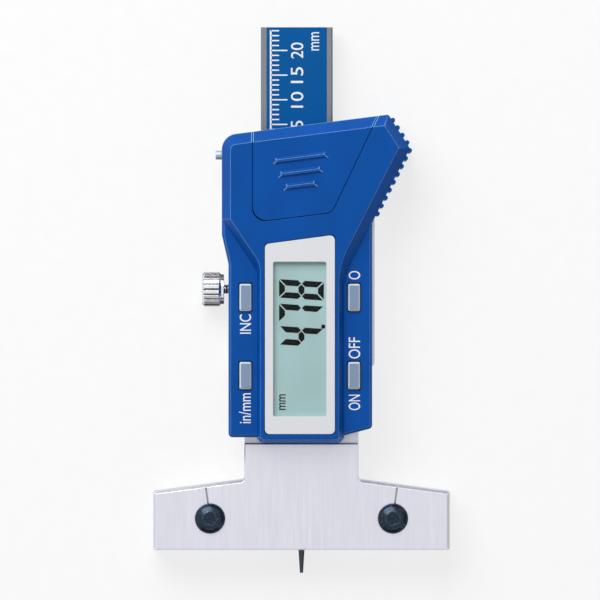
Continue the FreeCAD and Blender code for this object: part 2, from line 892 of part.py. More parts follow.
def seam_posts():
    """Posts inside the end wall that close the upper ends of the cover's seam from behind."""
    outline = ridge_square_outline()
    wide = cover_outline(cover_seam + ledge_width)
    narrow = cover_outline(cover_seam - ledge_width)
    low_part = slab(inset(outline, wall / 2), frame_front, cover_sill - cover_seam)
    high_part = slab(inset(outline, wall + seat_clearance), frame_front, post_height)
    band = slab(wide, frame_front, post_height).cut(slab(narrow, frame_front, post_height))
    reach = block(head_left, post_bottom, frame_front, nose_x, crown()[1], post_height)
    return low_part.fuse(high_part).common(band).common(reach)


def housing():
    body = housing_outside().fuse(thumb_ribs()).cut(housing_hollow())
    bosses = [bar_z(x, y, boss_radius, frame_front, ridge_inside + wall / 2)
              for x, y in housing_screw_places()]
    body = body.fuse([boss.common(housing_outside()) for boss in bosses])
    openings = [
        slab(panel_outline(panel_seam), panel_back, ridge_height + wall, corner_steps),
        slab(inset(panel_outline(), panel_ledge), ridge_inside - wall, panel_back, corner_steps),
        slab(cover_outline(cover_seam), cover_sill, ridge_height + wall),
    ]
    for x, y in button_places().values():
        openings.append(slab(button_outline(x, y, button_seam), wing_inside - wall,
                             wing_height + wall, corner_steps))
    for x, y in housing_screw_places():
        openings.append(bar_z(x, y, housing_screw_radius + thread_clearance, frame_front,
                              housing_screw_length + seat_clearance))
    return body.cut(openings).fuse([cover_ledges(), seam_posts()])


def housing_screws():
    screws = []
    for x, y in housing_screw_places():
        screw = countersunk(x, y, housing_screw_radius, housing_screw_head, housing_screw_length)
        screws.append(slotted(screw, x, y, housing_screw_head))
    return Part.makeCompound(screws)


# ---------------------------------------------------------------- battery cover
def grip_ridge(row, length):
    """A raised ridge with a narrow crest, longer along its lower edge."""
    half = length / 2
    low = grip_ridge_width / 2
    base = [(-half - low, -low, 0.0), (half + low, -low, 0.0), (half, low, 0.0), (-half, low, 0.0)]
    crest_side = grip_ridge_crest / 2
    crest = [(-half, -crest_side, 0.0), (half, -crest_side, 0.0),
             (half - crest_side, crest_side, 0.0), (-half + crest_side, crest_side, 0.0)]
    ridge = slab(base, ridge_height - wall / 4, ridge_height)
    ridge = ridge.fuse(tapered(base, ridge_height, crest, ridge_height + grip_ridge_height))
    ridge.rotate(V(0, 0, 0), V(0, 0, 1), head_top_slope)
    ridge.translate(V(grip_ridge_centre, row, 0))
    return ridge


def battery_cover():
    shell = housing_outside().common(slab(cover_outline(0.0), cover_sill + cover_seam, ridge_height))
    shell = shell.cut(housing_hollow())
    ridges = [grip_ridge(row, length) for row, length in zip(grip_ridge_rows, grip_ridge_lengths)]
    ledge_low = ridge_inside - seat_clearance - ledge_thickness
    leg_left = cover_left - cover_seam + ledge_width + hook_gap
    hooks = []
    for row in hook_rows:
        hook = block(leg_left, row, ledge_low - hook_gap - hook_thickness,
                     leg_left + hook_thickness, row + hook_length, ridge_inside)
        foot = block(cover_left + hook_gap, row, ledge_low - hook_gap - hook_thickness,
                     leg_left, row + hook_length, ledge_low - hook_gap)
        hooks += [hook, foot]
    middle = (cover_left + cover_right_x) / 2
    lip_root = cover_bottom_left + (middle - cover_left) * tangent(cover_bottom_slope)
    lip_top = ridge_inside - seat_clearance
    lip_low = lip_top - cover_lip_thickness
    lip = block(middle - cover_lip_half_width, lip_root - cover_lip_reach, lip_low,
                middle + cover_lip_half_width, lip_root + wall, lip_top)
    lip_neck = block(middle - cover_lip_half_width, lip_root + wall * 0.7, lip_low,
                     middle + cover_lip_half_width, lip_root + wall, ridge_inside)
    return shell.fuse(ridges + hooks + [lip, lip_neck])


# ---------------------------------------------------------------- cell, holder and contacts
def battery():
    """A button cell, its smaller negative cap towards the board."""
    profile = [
        (0, 0),
        (cell_cap_radius, 0),
        (cell_cap_radius, cell_step),
        (cell_radius, cell_step),
        (cell_radius, cell_height),
        (0, cell_height),
    ]
    return turned(profile, V(cell_x, cell_y, cell_back), V(0, 0, 1))


def battery_holder():
    """A moulded ring round the cell, open on the positive contact's side."""
    inner = cell_radius + panel_seam
    outer = inner + holder_wall
    holder = bar_z(cell_x, cell_y, outer, board_front, board_front + holder_height, 2 * hidden_sides)
    holder = holder.cut(rod_z(cell_x, cell_y, inner, board_front, board_front + holder_height))
    return holder.cut(block(cell_x, cell_y - holder_mouth / 2, board_front,
                          cell_x + outer + wall, cell_y + holder_mouth / 2, board_front + holder_height))


def battery_contact_negative():
    """A leaf under the cell with a bent tail to the board."""
    half = contact_width / 2
    leaf = block(cell_x - half, cell_y - cell_cap_radius, cell_back - contact_thickness,
                 cell_x + half, cell_y + half, cell_back)
    foot = block(cell_x - half, cell_y - cell_cap_radius, board_front,
                 cell_x + half, cell_y - cell_cap_radius + half, cell_back - contact_thickness)
    return leaf.fuse(foot)


def battery_contact_positive():
    """An upright leaf against the cell's side, with a foot on the board."""
    inner = cell_x + cell_radius + seat_clearance
    leaf = block(inner, cell_y - contact_width / 2, board_front,
                 inner + contact_thickness, cell_y + contact_width / 2, board_front + holder_height)
    foot = block(inner, cell_y - contact_width / 2, board_front,
                 inner + contact_width, cell_y + contact_width / 2, board_front + contact_thickness)
    return leaf.fuse(foot)


# ---------------------------------------------------------------- display
def view_outline(grow):
    return rectangle(view_left - grow, view_bottom - grow, view_right + grow, view_top + grow, view_corner)


def display_bezel():
    panel = slab(panel_outline(), panel_back, ridge_height, corner_steps)
    return panel.cut(slab(view_outline(seat_clearance), panel_back, ridge_height, corner_steps))


def display_window():
    return slab(view_outline(0.0), panel_back, ridge_height - window_recess, corner_steps)


def glass_sides():
    return (view_left - glass_margin, view_bottom - glass_length_margin,
            view_right + glass_margin, view_top + glass_length_margin)


def lcd_panel():
    left, bottom, right, top = glass_sides()
    return block(left, bottom, glass_back, right, top, glass_front)


def zebra_strips():
    """Two rubber connector strips between the board and the display glass."""
    left, bottom, right, top = glass_sides()
    low = bottom + connector_end_gap
    high = top - connector_end_gap
    first = block(left, low, board_front, left + connector_width, high, glass_back)
    second = block(right - connector_width, low, board_front, right, high, glass_back)
    return Part.makeCompound([first, second])


# ---------------------------------------------------------------- circuit board
def main_board():
    board = slab(rectangle(board_left, board_bottom, board_right, board_top, board_corner),
                 frame_front, board_front, corner_steps)
    room = boss_radius + seat_clearance * 2
    return board.cut([bar_z(x, y, room, frame_front, board_front) for x, y in housing_screw_places()])


def snap_domes():
    """Four-legged metal domes on the board under the buttons."""
    domes = []
    half = dome_half_width
    flat = half - dome_corner_cut
    corners = [(flat, -half), (half, -flat), (half, flat), (flat, half),
               (-flat, half), (-half, flat), (-half, -flat), (-flat, -half)]
    for x, y in button_places().values():
        foot = [(x + across, y + along, 0.0) for across, along in corners]
        domes.append(slab(foot, board_front, board_front + dome_height))
    return Part.makeCompound(domes)


def controller_chip():
    """The flat controller package under the display."""
    half = chip_width / 2
    return block(chip_x - half, chip_y - half, board_front, chip_x + half, chip_y + half, board_front + chip_height)


# ---------------------------------------------------------------- buttons
def button(x, y):
    """A rectangular cap with a bevelled rim, a flange under the housing and a stem to its dome."""
    top = wing_height + button_stand_out
    cap = button_outline(x, y, 0.0)
    body = slab(cap, wing_inside - panel_seam, top - button_rim, corner_steps)
    body = body.fuse(tapered(cap, top - button_rim, inset(cap, button_rim), top, corner_steps))
    flange_top = wing_inside - panel_seam
    across = button_width / 2
    along = button_length / 2
    flange = block(x - across - button_flange, y - along - button_flange, flange_top - button_flange_thickness,
                   x + across + button_flange, y + along + button_flange, flange_top)
    stem_end = board_front + dome_height + button_travel + button_spare
    stem = block(x - button_stem, y - button_stem, stem_end, x + button_stem, y + button_stem, flange_top)
    return body.fuse([flange, stem])


# ---------------------------------------------------------------- all pieces
def pieces():
    made = {
        "slider_frame": slider_frame(),
        "back_plate": back_plate(),
        "back_plate_screws": back_plate_screws(),
        "stop_screw": stop_screw(),
        "base_front_plate": base_front_plate(),
        "base_screws": base_screws(),
        "gib_strip": gib_strip(),
        "gib_set_screws": gib_set_screws(),
        "beam": beam(),
        "scale_strip": scale_strip(),
        "scale_label": scale_label(),
        "probe_needle": probe_needle(),
        "lock_screw": lock_screw(),
        "lock_pad": lock_pad(),
        "housing": housing(),
        "housing_screws": housing_screws(),
        "battery_cover": battery_cover(),
        "battery": battery(),
        "battery_holder": battery_holder(),
        "battery_contact_negative": battery_contact_negative(),
        "battery_contact_positive": battery_contact_positive(),
        "display_bezel": display_bezel(),
        "display_window": display_window(),
        "lcd_panel": lcd_panel(),
        "zebra_strips": zebra_strips(),
        "main_board": main_board(),
        "snap_domes": snap_domes(),
        "controller_chip": controller_chip(),
    }
    for name, (x, y) in button_places().items():
        made[name] = button(x, y)
    return made


os.makedirs("parts", exist_ok=True)
for name, shape in pieces().items():
    clean = shape.removeSplitter()
    clean.exportStep(os.path.join("parts", name + ".step"))
    print(name, len(clean.Solids), "solids", round(clean.Volume, 2), "cubic mm", clean.isValid())
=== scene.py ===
import json
import math

import bpy
from bpy.props import FloatProperty, FloatVectorProperty, PointerProperty
from mathutils import Matrix, Vector


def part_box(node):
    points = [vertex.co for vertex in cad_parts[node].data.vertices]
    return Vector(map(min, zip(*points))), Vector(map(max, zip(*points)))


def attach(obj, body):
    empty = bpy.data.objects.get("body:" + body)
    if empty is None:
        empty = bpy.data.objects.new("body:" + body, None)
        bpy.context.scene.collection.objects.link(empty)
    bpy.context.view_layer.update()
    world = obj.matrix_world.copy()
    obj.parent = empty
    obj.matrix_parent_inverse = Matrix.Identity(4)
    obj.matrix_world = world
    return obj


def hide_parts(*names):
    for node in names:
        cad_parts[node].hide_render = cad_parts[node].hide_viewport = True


# Digital depth gauge with a needle probe, lying on its back, dressed over its CAD frame.
# Metres in the scene; sizes named here are millimetres and go through MM, apart from the stage's.

bl_info = {
    "name": "Digital Depth Gauge",
    "version": (1, 0, 0),
    "blender": (4, 5, 0),
    "location": "View3D > Sidebar > Depth Gauge",
    "description": "Finishes, display, legends and stage for a digital depth gauge",
    "category": "Object",
}

MM = 0.001
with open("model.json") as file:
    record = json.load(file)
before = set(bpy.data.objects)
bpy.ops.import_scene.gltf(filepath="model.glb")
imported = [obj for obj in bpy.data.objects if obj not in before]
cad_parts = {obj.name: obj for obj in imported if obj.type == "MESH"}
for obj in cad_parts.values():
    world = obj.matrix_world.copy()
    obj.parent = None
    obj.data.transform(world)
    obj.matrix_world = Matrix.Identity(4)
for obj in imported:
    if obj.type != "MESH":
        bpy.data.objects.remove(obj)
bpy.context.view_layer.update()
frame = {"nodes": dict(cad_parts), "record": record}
NODES = frame["nodes"]


def linear(colour):
    """A linear RGBA colour from an sRGB hex value such as "134FA2"."""
    values = [int(colour[i:i + 2], 16) / 255 for i in (0, 2, 4)]
    return tuple(v / 12.92 if v <= 0.04045 else ((v + 0.055) / 1.055) ** 2.4 for v in values) + (1.0,)


def shade(colour, factor):
    """A colour made lighter or darker by a factor."""
    return tuple(min(channel * factor, 1.0) for channel in colour[:3]) + (1.0,)


# ---------------------------------------------------------------- properties
def colour_property(name, description, value):
    """A colour that the sidebar shows, from its sRGB hex value."""
    return FloatVectorProperty(name=name, description=description, subtype="COLOR", size=4,
                               min=0.0, max=1.0, default=linear(value))


def length_property(name, description, length, digits=5):
    """A length that the sidebar shows, from its value in millimetres."""
    return FloatProperty(name=name, description=description, default=length * MM, unit="LENGTH",
                         precision=digits)


class GaugeSizes(bpy.types.PropertyGroup):
    edge_break: length_property("Edge break", "Radius to which moulded edges are softened", 0.22)
    metal_edge_break: length_property("Metal edge break", "Radius to which machined edges are broken", 0.12)
    ink: length_property("Ink thickness", "Thickness of printed marks", 0.02, digits=6)
    digit_height: length_property("Digit height", "Height of a display digit", 9.02)
    digit_width: length_property("Digit width", "Width of a display digit", 3.72)
    segment: length_property("Segment width", "Width of a display segment", 1.18)
    segment_gap: length_property("Segment gap", "Clear line between two segments", 0.2)
    graduation: length_property("Graduation", "Distance between the short marks on the beam", 1.0)
    thread_pitch: length_property("Thread pitch", "Pitch of the lock screw's thread", 0.4)


class GaugeColours(bpy.types.PropertyGroup):
    housing: colour_property("Housing", "Moulded ABS of the housing and battery cover", "004C9E")
    label: colour_property("Label", "Printed film on the beam", "00579A")
    ink: colour_property("Ink", "White printing", "F4F6FA")
    steel: colour_property("Brushed steel", "Base, frame and plates", "D2D3DC")
    beam: colour_property("Beam steel", "Satin edges of the beam", "787C85")
    blackened: colour_property("Black oxide", "Socket screws of the base", "26313C")
    panel: colour_property("Panel", "Frame round the display", "E0E2E5")
    display: colour_property("Display", "Liquid crystal glass", "B3CDCE")
    button: colour_property("Button", "Moulded push buttons", "7F95AE")


# ---------------------------------------------------------------- material helpers
# rays that the bevel and the nearness of edges are worked out from
BEVEL_SAMPLES = 6
NEARNESS_SAMPLES = 8

# the Mix node's sockets that carry colours; their names are shared with those for numbers
MIX_FACTOR = 0
MIX_FIRST = 6
MIX_SECOND = 7
MIX_RESULT = 2


def add(tree, kind, settings=None, links=None):
    """Adds a node with its settings and feeds its inputs; both go by input name or number."""
    made = tree.nodes.new(kind)
    for key, value in (settings or {}).items():
        if isinstance(key, int) or key in made.inputs:
            made.inputs[key].default_value = value
        else:
            setattr(made, key, value)
    for key, source in (links or {}).items():
        tree.links.new(source, made.inputs[key])
    return made


def empty(name):
    """A material with nothing in its node tree yet."""
    made = bpy.data.materials.new(name)
    made.use_nodes = True
    made.node_tree.nodes.clear()
    return made, made.node_tree


def blank(name):
    """A material with its object coordinates and a Principled shader on its output."""
    made, tree = empty(name)
    shader = add(tree, "ShaderNodeBsdfPrincipled")
    add(tree, "ShaderNodeOutputMaterial", links={"Surface": shader.outputs["BSDF"]})
    place = add(tree, "ShaderNodeTexCoord").outputs["Object"]
    return made, tree, shader, place


def feed(tree, shader, sources):
    """Gives each named input of a shader a fixed value or the output that it follows."""
    for name, source in sources.items():
        if isinstance(source, bpy.types.NodeSocket):
            tree.links.new(source, shader.inputs[name])
        else:
            shader.inputs[name].default_value = source


def grain(tree, place, size, detail=2.0, roughness=0.5):
    """A noise whose grains are about the given size, in millimetres along X, Y and Z."""
    scale = tuple(1.0 / (width * MM) for width in size)
    placed = add(tree, "ShaderNodeMapping", {"Scale": scale}, {"Vector": place})
    return add(tree, "ShaderNodeTexNoise", {"Scale": 1.0, "Detail": detail, "Roughness": roughness},
               {"Vector": placed.outputs["Vector"]}).outputs["Fac"]


def combine(tree, operation, first, second):
    """Two values joined by an operation of the Math node."""
    return add(tree, "ShaderNodeMath", {"operation": operation}, {0: first, 1: second}).outputs["Value"]


def overlaid(tree, value, share, base):
    """A share of one value laid over another."""
    return add(tree, "ShaderNodeMath", {"operation": "MULTIPLY_ADD", 1: share},
               {0: value, 2: base}).outputs["Value"]


def between(tree, value, low, high, start=0.3, end=0.7):
    """A value from start to end, where most of a noise lies, turned into a number from low to high."""
    return add(tree, "ShaderNodeMapRange",
               {"From Min": start, "From Max": end, "To Min": low, "To Max": high},
               {"Value": value}).outputs["Result"]


def tint(tree, value, dark, light, start=0.3, end=0.7):
    """A value from start to end, where most of a noise lies, turned into a colour from dark to light."""
    ramp = add(tree, "ShaderNodeValToRGB", links={"Fac": value})
    ramp.color_ramp.elements[0].position = start
    ramp.color_ramp.elements[0].color = dark
    ramp.color_ramp.elements[1].position = end
    ramp.color_ramp.elements[1].color = light
    return ramp.outputs["Color"]


def relief(tree, shader, height, depth, strength, edge=0.0):
    """Bumps of a depth in millimetres, over edges softened to a radius in metres."""
    links = {"Height": height}
    if edge > 0:
        bevel = add(tree, "ShaderNodeBevel", {"samples": BEVEL_SAMPLES, "Radius": edge})
        links["Normal"] = bevel.outputs["Normal"]
    bump = add(tree, "ShaderNodeBump", {"Strength": strength, "Distance": depth * MM}, links)
    tree.links.new(bump.outputs["Normal"], shader.inputs["Normal"])


def blend(tree, factor, first, second):
    """One colour turned into another by a factor; the second is a fixed colour."""
    return add(tree, "ShaderNodeMix", {"data_type": "RGBA", MIX_SECOND: second},
               {MIX_FACTOR: factor, MIX_FIRST: first}).outputs[MIX_RESULT]


def nearness(tree, width, inside):
    """How free a place is within a width in millimetres. From inside its own piece, it is less free near an
    outer edge. From outside, among all pieces, it is less free down in a groove."""
    return add(tree, "ShaderNodeAmbientOcclusion",
               {"inside": inside, "only_local": inside, "samples": NEARNESS_SAMPLES,
                "Distance": width * MM}).outputs["AO"]


def leaning(tree):
    """One on faces that lean, nought on level and upright ones."""
    normal = add(tree, "ShaderNodeTexCoord").outputs["Normal"]
    height = add(tree, "ShaderNodeSeparateXYZ", links={0: normal}).outputs["Z"]
    not_level = between(tree, height, 1.0, 0.0, start=0.93, end=0.985)
    not_upright = between(tree, height, 0.0, 1.0, start=0.05, end=0.12)
    return combine(tree, "MULTIPLY", not_level, not_upright)


def worn_edges(tree, colour, highlight, width):
    """A colour that turns paler along a blunt outer crease, on its leaning side: a painted highlight where
    the crease would catch the light. A square edge stays as it is."""
    free = nearness(tree, width, inside=True)
    not_flat = between(tree, free, 1.0, 0.0, start=0.84, end=0.96)
    not_square = between(tree, free, 0.0, 1.0, start=0.6, end=0.72)
    blunt = combine(tree, "MULTIPLY", not_flat, not_square)
    crease = combine(tree, "MULTIPLY", blunt, leaning(tree))
    return blend(tree, crease, colour, highlight)


def dark_grooves(tree, colour, dark, width):
    """A colour with painted shade: it turns dark down in narrow grooves and where other pieces stand close.
    """
    groove = between(tree, nearness(tree, width, inside=False), 1.0, 0.0, start=0.4, end=0.88)
    return blend(tree, groove, colour, dark)


def seen_rays(tree):
    """One for what is looked at, directly, in a mirror or through glass; nought for the light that falls
    on the pieces."""
    path = add(tree, "ShaderNodeLightPath")
    mirrored = combine(tree, "MAXIMUM", path.outputs["Is Camera Ray"], path.outputs["Is Glossy Ray"])
    return combine(tree, "MAXIMUM", mirrored, path.outputs["Is Transmission Ray"])


# ---------------------------------------------------------------- materials
def brushed_steel(name, colour, grain_size, roughness, edge, contrast):
    """Stainless steel brushed along Y: fine long scratches that streak its grey and its gloss."""
    made, tree, shader, place = blank(name)
    streaks = grain(tree, place, grain_size, detail=3.0, roughness=0.6)
    cloud = grain(tree, place, (9.0, 14.0, 9.0), detail=1.0)
    mixed = overlaid(tree, cloud, 0.25, streaks)
    grey = tint(tree, mixed, shade(colour, 1 - contrast), shade(colour, 1 + contrast), start=0.42, end=0.85)
    feed(tree, shader, {
        # painted highlight: the leaning side of blunt edges turns half again as light as the steel
        "Base Color": worn_edges(tree, grey, shade(colour, 1.5), width=0.3),
        "Roughness": between(tree, streaks, roughness - 0.05, roughness + 0.07),
        "Metallic": 1.0,
    })
    relief(tree, shader, streaks, depth=0.01, strength=0.35, edge=edge)
    return made


def moulded_abs(name, colour, edge):
    """ABS moulded in a spark-eroded tool: a fine even grain that breaks the light into a satin sheen."""
    made, tree, shader, place = blank(name)
    fine = grain(tree, place, (0.22, 0.22, 0.22))
    cloud = grain(tree, place, (7.0, 9.0, 7.0))
    body = tint(tree, cloud, shade(colour, 0.94), shade(colour, 1.07))
    feed(tree, shader, {
        # painted highlight: a light blue along the leaning side of the housing's blunt creases
        "Base Color": worn_edges(tree, body, linear("86B8EC"), width=0.24),
        "Roughness": between(tree, fine, 0.34, 0.44),
        "Specular IOR Level": 0.13,
        "IOR": 1.53,
    })
    relief(tree, shader, fine, depth=0.012, strength=0.3, edge=edge)
    return made


def moulded(name, colour, roughness, edge, grain_width=0.3, specular=0.5, rim_highlight=None):
    """A smaller moulded plastic piece: a faint grain, a soft gloss and, where asked, a painted highlight on
    its leaning faces.
    """
    made, tree, shader, place = blank(name)
    fine = grain(tree, place, (grain_width,) * 3)
    body = tint(tree, fine, shade(colour, 0.98), shade(colour, 1.02))
    if rim_highlight:
        # painted highlight: leaning faces take the lighter colour
        body = blend(tree, leaning(tree), body, rim_highlight)
    feed(tree, shader, {
        "Base Color": body,
        "Roughness": between(tree, fine, roughness - 0.04, roughness + 0.04),
        "Specular IOR Level": specular,
    })
    relief(tree, shader, fine, depth=0.004, strength=0.15, edge=edge)
    return made


def plated(name, colour, roughness, edge, grain_size=(0.6, 0.6, 0.6), contrast=0.04, groove=None):
    """Plated or polished metal: a clear mirror, faintly uneven from handling, and with painted shade down in
    its grooves and near other pieces where the shade's colour is given."""
    made, tree, shader, place = blank(name)
    wear = grain(tree, place, grain_size, detail=3.0, roughness=0.6)
    body = tint(tree, wear, shade(colour, 1 - contrast), shade(colour, 1 + contrast))
    if groove:
        # painted shade in grooves and beside other pieces
        body = dark_grooves(tree, body, groove, width=0.9)
    feed(tree, shader, {
        "Base Color": body,
        "Roughness": between(tree, wear, roughness * 0.8, roughness * 1.3),
        "Metallic": 1.0,
    })
    relief(tree, shader, wear, depth=0.004, strength=0.15, edge=edge)
    return made


def black_oxide(name, colour, edge):
    """Blackened alloy steel, oiled: nearly black with a blue cast and a soft oily gloss."""
    made, tree, shader, place = blank(name)
    mottle = grain(tree, place, (0.35, 0.35, 0.35), detail=3.0, roughness=0.6)
    body = tint(tree, mottle, shade(colour, 0.7), shade(colour, 1.6))
    feed(tree, shader, {
        # painted highlight: a pale blue along blunt creases, such as the socket's chamfered mouth
        "Base Color": worn_edges(tree, body, linear("6F86A8"), width=0.3),
        "Roughness": between(tree, mottle, 0.2, 0.32),
        "Metallic": 0.9,
    })
    relief(tree, shader, mottle, depth=0.006, strength=0.25, edge=edge)
    return made


def printed_film(name, colour):
    """Polyester label film: smooth and even, with a faint orange-peel gloss."""
    made, tree, shader, place = blank(name)
    peel = grain(tree, place, (0.5, 0.5, 0.5), detail=1.0)
    feed(tree, shader, {
        "Base Color": tint(tree, peel, shade(colour, 0.97), shade(colour, 1.03)),
        "Roughness": between(tree, peel, 0.3, 0.4),
        "Specular IOR Level": 0.1,
    })
    relief(tree, shader, peel, depth=0.003, strength=0.15)
    return made


def ink_print(name, colour):
    """Screen-printed ink: dense and matt, with the faint unevenness of the mesh."""
    made, tree, shader, place = blank(name)
    mesh = grain(tree, place, (0.12, 0.12, 0.12), detail=1.0)
    feed(tree, shader, {
        "Base Color": tint(tree, mesh, shade(colour, 0.96), colour),
        "Roughness": 0.5,
        "Specular IOR Level": 0.1,
    })
    return made


def display_glass(name, colour):
    """Reflective liquid crystal glass: an even grey-green with the fine grain of its rear polariser."""
    made, tree, shader, place = blank(name)
    speckle = grain(tree, place, (0.09, 0.09, 0.09), detail=1.0)
    cloud = grain(tree, place, (6.0, 12.0, 6.0), detail=1.0)
    both = overlaid(tree, speckle, 0.5, cloud)
    feed(tree, shader, {
        "Base Color": tint(tree, both, shade(colour, 0.96), shade(colour, 1.04), start=0.6, end=0.9),
        "Roughness": 0.45,
        "Specular IOR Level": 0.25,
    })
    return made


def clear_acrylic(name):
    """Clear acrylic, a thin pane: sight and light pass straight through, and its front face mirrors
    faintly."""
    made, tree = empty(name)
    place = add(tree, "ShaderNodeTexCoord").outputs["Object"]
    rub = grain(tree, place, (1.5, 4.0, 1.5))
    mirror = add(tree, "ShaderNodeBsdfPrincipled", {"Base Color": linear("FFFFFF"), "Metallic": 1.0},
                 {"Roughness": between(tree, rub, 0.03, 0.09)})
    clear = add(tree, "ShaderNodeBsdfTransparent", {"Color": linear("FAFCFC")})
    fresnel = add(tree, "ShaderNodeFresnel", {"IOR": 1.18}).outputs["Fac"]
    back = add(tree, "ShaderNodeNewGeometry").outputs["Backfacing"]
    front = add(tree, "ShaderNodeMath", {"operation": "SUBTRACT", 0: 1.0}, {1: back}).outputs["Value"]
    share = combine(tree, "MULTIPLY", fresnel, front)
    mixed = add(tree, "ShaderNodeMixShader",
                links={0: share, 1: clear.outputs["BSDF"], 2: mirror.outputs["BSDF"]})
    add(tree, "ShaderNodeOutputMaterial", links={"Surface": mixed.outputs["Shader"]})
    return made


def circuit_board(name):
    """Glass-fibre laminate under green solder mask: copper tracks show as lighter lines."""
    made, tree, shader, place = blank(name)
    spacing = 1.6 * MM
    placed = add(tree, "ShaderNodeMapping", {"Scale": (1 / spacing,) * 3}, {"Vector": place})
    tracks = add(tree, "ShaderNodeTexBrick",
                 {"Scale": 1.0, "Mortar Size": 0.12, "Color1": linear("0F4A2A"),
                  "Color2": linear("0C4025"), "Mortar": linear("1E6B3C")},
                 {"Vector": placed.outputs["Vector"]})
    feed(tree, shader, {"Base Color": tracks.outputs["Color"], "Roughness": 0.3})
    relief(tree, shader, tracks.outputs["Fac"], depth=0.02, strength=0.3)
    return made


def layered_rubber(name):
    """Elastomer connector: thin black conductive layers in pink silicone."""
    made, tree, shader, place = blank(name)
    pitch = 0.4 * MM
    placed = add(tree, "ShaderNodeMapping", {"Scale": (0.0, 1 / pitch, 0.0)}, {"Vector": place})
    layers = add(tree, "ShaderNodeTexWave", {"bands_direction": "Y", "Scale": 0.5},
                 {"Vector": placed.outputs["Vector"]}).outputs["Fac"]
    feed(tree, shader, {
        "Base Color": tint(tree, layers, linear("1A1418"), linear("B8677E"), start=0.45, end=0.55),
        "Roughness": 0.6,
    })
    return made


def make_materials():
    """Every finish, by the record's slot name."""
    sizes = bpy.context.scene.gauge_sizes
    colours = bpy.context.scene.gauge_colours
    soft = sizes.edge_break
    sharp = sizes.metal_edge_break
    return {
        "stainless_brushed": brushed_steel("Stainless steel, brushed lengthwise", colours.steel[:],
                                           (0.2, 9.0, 0.2), roughness=0.36, edge=sharp, contrast=0.035),
        "stainless_beam": brushed_steel("Stainless steel, satin ground", colours.beam[:],
                                        (0.12, 5.0, 0.12), roughness=0.4, edge=sharp, contrast=0.08),
        "blackened_steel": black_oxide("Alloy steel, black oxide", colours.blackened[:], sharp),
        "needle_steel": plated("Tool steel, ground round", linear("3E444C"), roughness=0.26, edge=0.0,
                               grain_size=(9.0, 0.12, 9.0), contrast=0.15),
        "screw_steel": plated("Steel, zinc plated", linear("B4BEC8"), roughness=0.62, edge=sharp),
        # painted shade: the chrome darkens in its grooves and on faces close to the housing and frame
        "chrome_knob": plated("Steel, chrome plated", linear("E0E2E6"), roughness=0.14, edge=sharp,
                              groove=linear("15171B")),
        "brass": plated("Brass, turned", linear("C9A45B"), roughness=0.3, edge=sharp),
        "nylon": moulded("Nylon, moulded", linear("E2DFD6"), roughness=0.5, edge=soft),
        "blue_abs": moulded_abs("ABS, spark-eroded mould", colours.housing[:], soft),
        "label_film": printed_film("Polyester film, printed", colours.label[:]),
        "circuit_laminate": circuit_board("Laminate, solder mask"),
        "panel_grey": moulded("ABS, satin lacquered", colours.panel[:], roughness=0.35, edge=soft / 2,
                              grain_width=0.5, specular=0.3),
        "clear_window": clear_acrylic("Acrylic, clear"),
        "lcd_glass": display_glass("Liquid crystal glass, reflective", colours.display[:]),
        "connector_rubber": layered_rubber("Silicone, layered"),
        # the buttons' chamfers carry a painted highlight in a pale grey-blue
        "button_plastic": moulded("ABS, grey-blue button", colours.button[:], roughness=0.38, edge=soft,
                                  grain_width=0.25, specular=0.4, rim_highlight=linear("D4DEE4")),
        "holder_plastic": moulded("ABS, black", linear("181818"), roughness=0.45, edge=soft),
        "cell_steel": plated("Steel, nickel plated", linear("D2D2D0"), roughness=0.18, edge=sharp),
        "spring_plate": plated("Spring bronze, nickel plated", linear("CDC8B4"), roughness=0.25, edge=0.0),
        "epoxy_black": moulded("Epoxy, black", linear("0E0E10"), roughness=0.35, edge=soft),
        "ink_white": ink_print("Ink, white", colours.ink[:]),
        "ink_black": ink_print("Liquid crystal, dark", linear("050608")),
    }


# filled by the finishes operator, by slot name
MATERIALS = {}

# a vertex this close to a level lies on it
TOUCH = 0.0001 * MM


# ---------------------------------------------------------------- modelling helpers
def deselect():
    """Object mode, with nothing selected."""
    if bpy.context.mode != "OBJECT":
        bpy.ops.object.mode_set(mode="OBJECT")
    bpy.ops.object.select_all(action="DESELECT")


def select(piece, *others):
    """Only these pieces selected, and the first one active."""
    bpy.ops.object.select_all(action="DESELECT")
    for chosen in (piece, *others):
        chosen.select_set(True)
    bpy.context.view_layer.objects.active = piece


def apply_placement():
    """Puts the place, turn and scale of what is selected into its mesh."""
    bpy.ops.object.transform_apply(location=True, rotation=True, scale=True)


def edit(piece, chosen=None):
    """Edit mode with the vertices selected whose place passes a test, or all of them."""
    mesh = piece.data
    for vertex in mesh.vertices:
        vertex.select = chosen(vertex.co) if chosen else True
    for part in (*mesh.edges, *mesh.polygons):
        part.select = all(mesh.vertices[i].select for i in part.vertices)
    bpy.context.tool_settings.mesh_select_mode = (True, False, False)
    bpy.ops.object.mode_set(mode="EDIT")


def leave():
    """Back in object mode."""
    bpy.ops.object.mode_set(mode="OBJECT")


def face_outwards():
    """Turns every face of the piece being edited outwards, and leaves edit mode."""
    bpy.ops.mesh.select_all(action="SELECT")
    bpy.ops.mesh.normals_make_consistent(inside=False)
    leave()


def thicken(height):
    """Makes closed bodies of the flat faces being edited, and leaves edit mode."""
    bpy.ops.mesh.extrude_region_move(TRANSFORM_OT_translate={"value": (0, 0, height)})
    face_outwards()


def block(place, size):
    """A box about a place."""
    bpy.ops.mesh.primitive_cube_add(size=1.0, location=place)
    made = bpy.context.object
    made.scale = size
    apply_placement()
    return made


def boolean(piece, tool, operation):
    """Joins a tool to a piece or cuts it away from it, and removes the tool."""
    change = piece.modifiers.new(operation, "BOOLEAN")
    change.operation = operation
    change.solver = "EXACT"
    change.object = tool
    select(piece)
    bpy.ops.object.modifier_apply(modifier=operation)
    bpy.data.objects.remove(tool)


